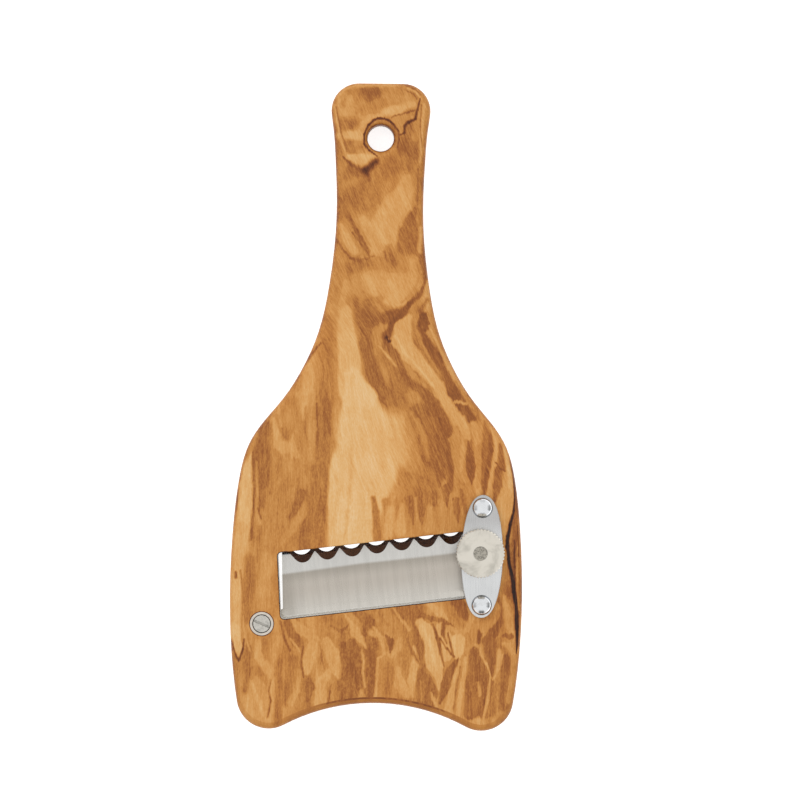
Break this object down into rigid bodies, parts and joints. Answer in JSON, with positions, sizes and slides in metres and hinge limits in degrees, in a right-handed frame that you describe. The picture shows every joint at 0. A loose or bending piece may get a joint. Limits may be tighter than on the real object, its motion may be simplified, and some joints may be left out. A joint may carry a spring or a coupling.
{
  "type": "truffle slicer",
  "caption": "Wooden paddle slicer with a scalloped steel blade behind a slanted window, set in height by a knurled thumb nut.",
  "frame": {"origin": "middle of the board's length and width, on its flat back face, where the slicer lies on a table", "axes": "+X to the right seen from the front, +Y along the board towards the end of the handle, +Z out of the front face"},
  "size_m": [0.095, 0.21, 0.015],
  "materials": {
    "olive_wood": "oiled olive wood, smooth sanded, figured",
    "blade_steel": "ground lengthwise to the handle, polished scallops",
    "bracket_steel": "brushed along its length, bright rim",
    "dome_chrome": "polished",
    "nut_nickel": "satin nickel plate, straight knurl",
    "rod_steel": "sawn and filed end",
    "fastener_steel": "turned, satin",
    "ferrule_nickel": "satin nickel plate",
    "spring_steel": "drawn wire"
  },
  "bodies": {
    "root": {"board": "olive_wood", "pivot_barrel_nut": "fastener_steel", "pivot_ferrule": "ferrule_nickel", "pivot_screw": "fastener_steel", "bracket_plate": "bracket_steel", "bracket_screw_upper": "dome_chrome", "bracket_screw_lower": "dome_chrome", "nut_washer": "bracket_steel", "blade_spring": "spring_steel"},
    "nut": {"thumb_nut": "nut_nickel"},
    "screw": {"adjusting_screw": "rod_steel"},
    "blade": {"blade": "blade_steel"}
  },
  "joints": [
    {"name": "nut_turn", "type": "hinge", "parent": "root", "child": "nut", "pos_m": [0.03365, -0.04704, 0.009], "axis": [0, 0, 1], "range_deg": [0, 1080]},
    {"name": "screw_lift", "type": "slide", "parent": "root", "child": "screw", "axis": [0, 0, -1], "range_m": [0, 0.0024]},
    {"name": "blade_tilt", "type": "hinge", "parent": "root", "child": "blade", "pos_m": [-0.03696, -0.0708, 0.00105], "axis": [-0.3189, 0.9478, 0], "range_deg": [0, 1.87], "deforming": ["blade_spring"]}
  ],
  "couplings": [
    {"joint": "nut_turn", "follows": "screw_lift", "rad_per_m": 7854},
    {"joint": "blade_tilt", "follows": "screw_lift", "rad_per_m": 13.423}
  ]
}
